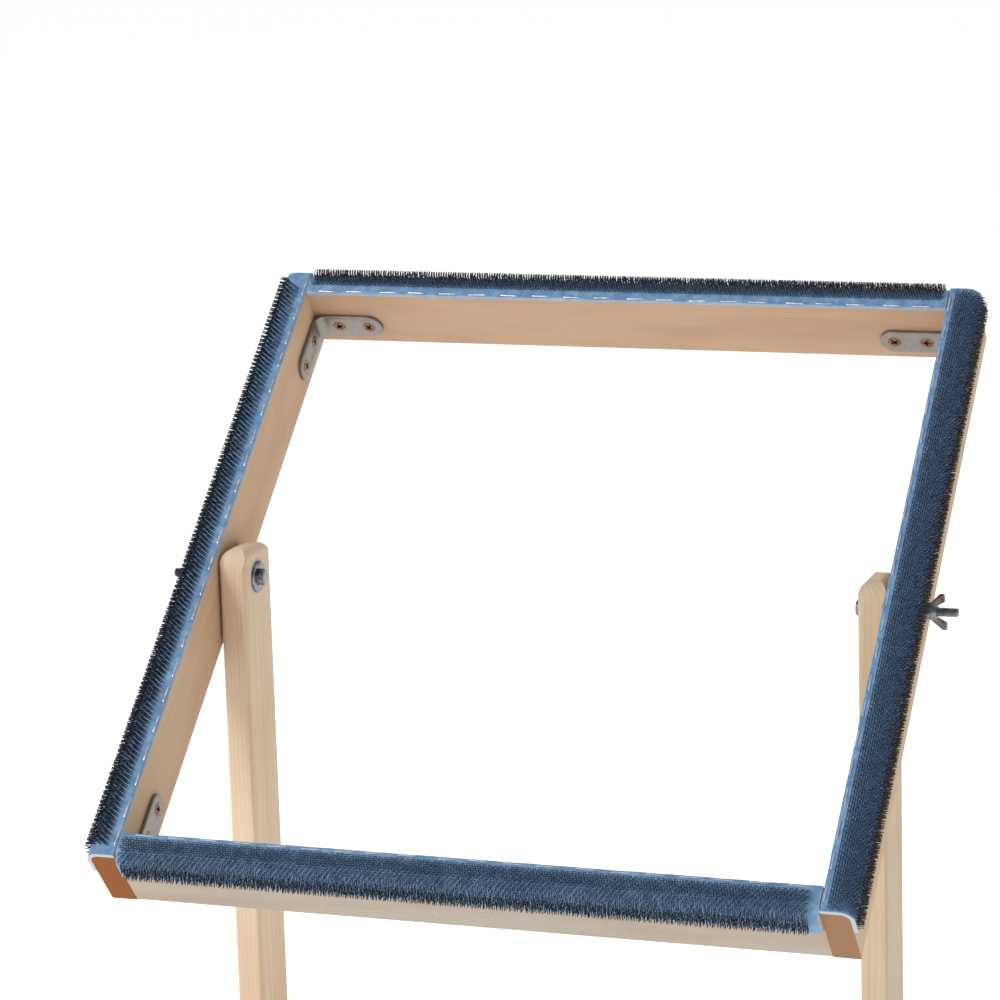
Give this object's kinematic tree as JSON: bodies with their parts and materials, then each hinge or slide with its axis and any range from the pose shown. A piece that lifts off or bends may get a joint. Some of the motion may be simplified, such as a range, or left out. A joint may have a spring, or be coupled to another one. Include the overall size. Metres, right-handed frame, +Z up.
{
  "type": "gripper strip frame loom on stand",
  "caption": "Square wooden frame edged with wire gripper strips, tilting between the posts of a stand and clamped by wing nuts.",
  "frame": {"origin": "on the resting surface, midway between the feet, directly under the tilt axis", "axes": "+X to the sitter's right along the tilt axis, +Y away from the sitter, +Z up"},
  "size_m": [0.4372, 0.36, 0.504],
  "materials": {
    "pine": "planed softwood, unvarnished, fine straight grain",
    "gripper_backing": "laminated sheet, satin",
    "gripper_wire": "blued fine wire, satin",
    "staple_steel": "bright drawn wire",
    "brace_steel": "zinc plated sheet, satin",
    "screw_bronze": "yellow zinc plated, semi-gloss",
    "bolt_zinc": "bright zinc plated"
  },
  "bodies": {
    "stand": {"base_front_left_brace": "brace_steel", "base_front_left_brace_screws": "screw_bronze", "base_front_right_brace": "brace_steel", "base_front_right_brace_screws": "screw_bronze", "base_back_right_brace": "brace_steel", "base_back_right_brace_screws": "screw_bronze", "base_back_left_brace": "brace_steel", "base_back_left_brace_screws": "screw_bronze", "front_stretcher": "pine", "back_stretcher": "pine", "left_post": "pine", "left_foot": "pine", "left_pivot_bolt": "bolt_zinc", "left_head_washer": "bolt_zinc", "left_spacer_washer": "bolt_zinc", "left_foot_bolts": "bolt_zinc", "left_foot_washers": "bolt_zinc", "left_foot_nuts": "bolt_zinc", "right_post": "pine", "right_foot": "pine", "right_pivot_bolt": "bolt_zinc", "right_head_washer": "bolt_zinc", "right_spacer_washer": "bolt_zinc", "right_foot_bolts": "bolt_zinc", "right_foot_washers": "bolt_zinc", "right_foot_nuts": "bolt_zinc"},
    "tilt_frame": {"back_rail": "pine", "back_gripper_backing": "gripper_backing", "back_gripper_teeth": "gripper_wire", "back_staples": "staple_steel", "left_rail": "pine", "left_gripper_backing": "gripper_backing", "left_gripper_teeth": "gripper_wire", "left_staples": "staple_steel", "front_rail": "pine", "front_gripper_backing": "gripper_backing", "front_gripper_teeth": "gripper_wire", "front_staples": "staple_steel", "right_rail": "pine", "right_gripper_backing": "gripper_backing", "right_gripper_teeth": "gripper_wire", "right_staples": "staple_steel", "front_left_brace": "brace_steel", "front_right_brace": "brace_steel", "back_right_brace": "brace_steel", "back_left_brace": "brace_steel", "front_left_brace_screws": "screw_bronze", "front_right_brace_screws": "screw_bronze", "back_right_brace_screws": "screw_bronze", "back_left_brace_screws": "screw_bronze"},
    "left_clamp": {"left_clamp_washer": "bolt_zinc"},
    "left_nut": {"left_wing_nut": "bolt_zinc"},
    "right_clamp": {"right_clamp_washer": "bolt_zinc"},
    "right_nut": {"right_wing_nut": "bolt_zinc"}
  },
  "joints": [
    {"name": "frame_tilt", "type": "hinge", "parent": "stand", "child": "tilt_frame", "pos_m": [0, 0, 0.355], "axis": [1, 0, 0], "range_deg": [-112, 32]},
    {"name": "left_clamp_slide", "type": "slide", "parent": "stand", "child": "left_clamp", "axis": [-1, 0, 0], "range_m": [0, 0.0025]},
    {"name": "left_nut_turn", "type": "hinge", "parent": "left_clamp", "child": "left_nut", "pos_m": [-0.201, 0, 0.355], "axis": [-1, 0, 0], "range_deg": [0, 1080]},
    {"name": "right_clamp_slide", "type": "slide", "parent": "stand", "child": "right_clamp", "axis": [1, 0, 0], "range_m": [0, 0.0025]},
    {"name": "right_nut_turn", "type": "hinge", "parent": "right_clamp", "child": "right_nut", "pos_m": [0.201, 0, 0.355], "axis": [1, 0, 0], "range_deg": [0, 1080]}
  ],
  "couplings": [
    {"joint": "left_clamp_slide", "follows": "left_nut_turn", "m_per_rad": 0.00012732},
    {"joint": "right_clamp_slide", "follows": "right_nut_turn", "m_per_rad": 0.00012732}
  ]
}
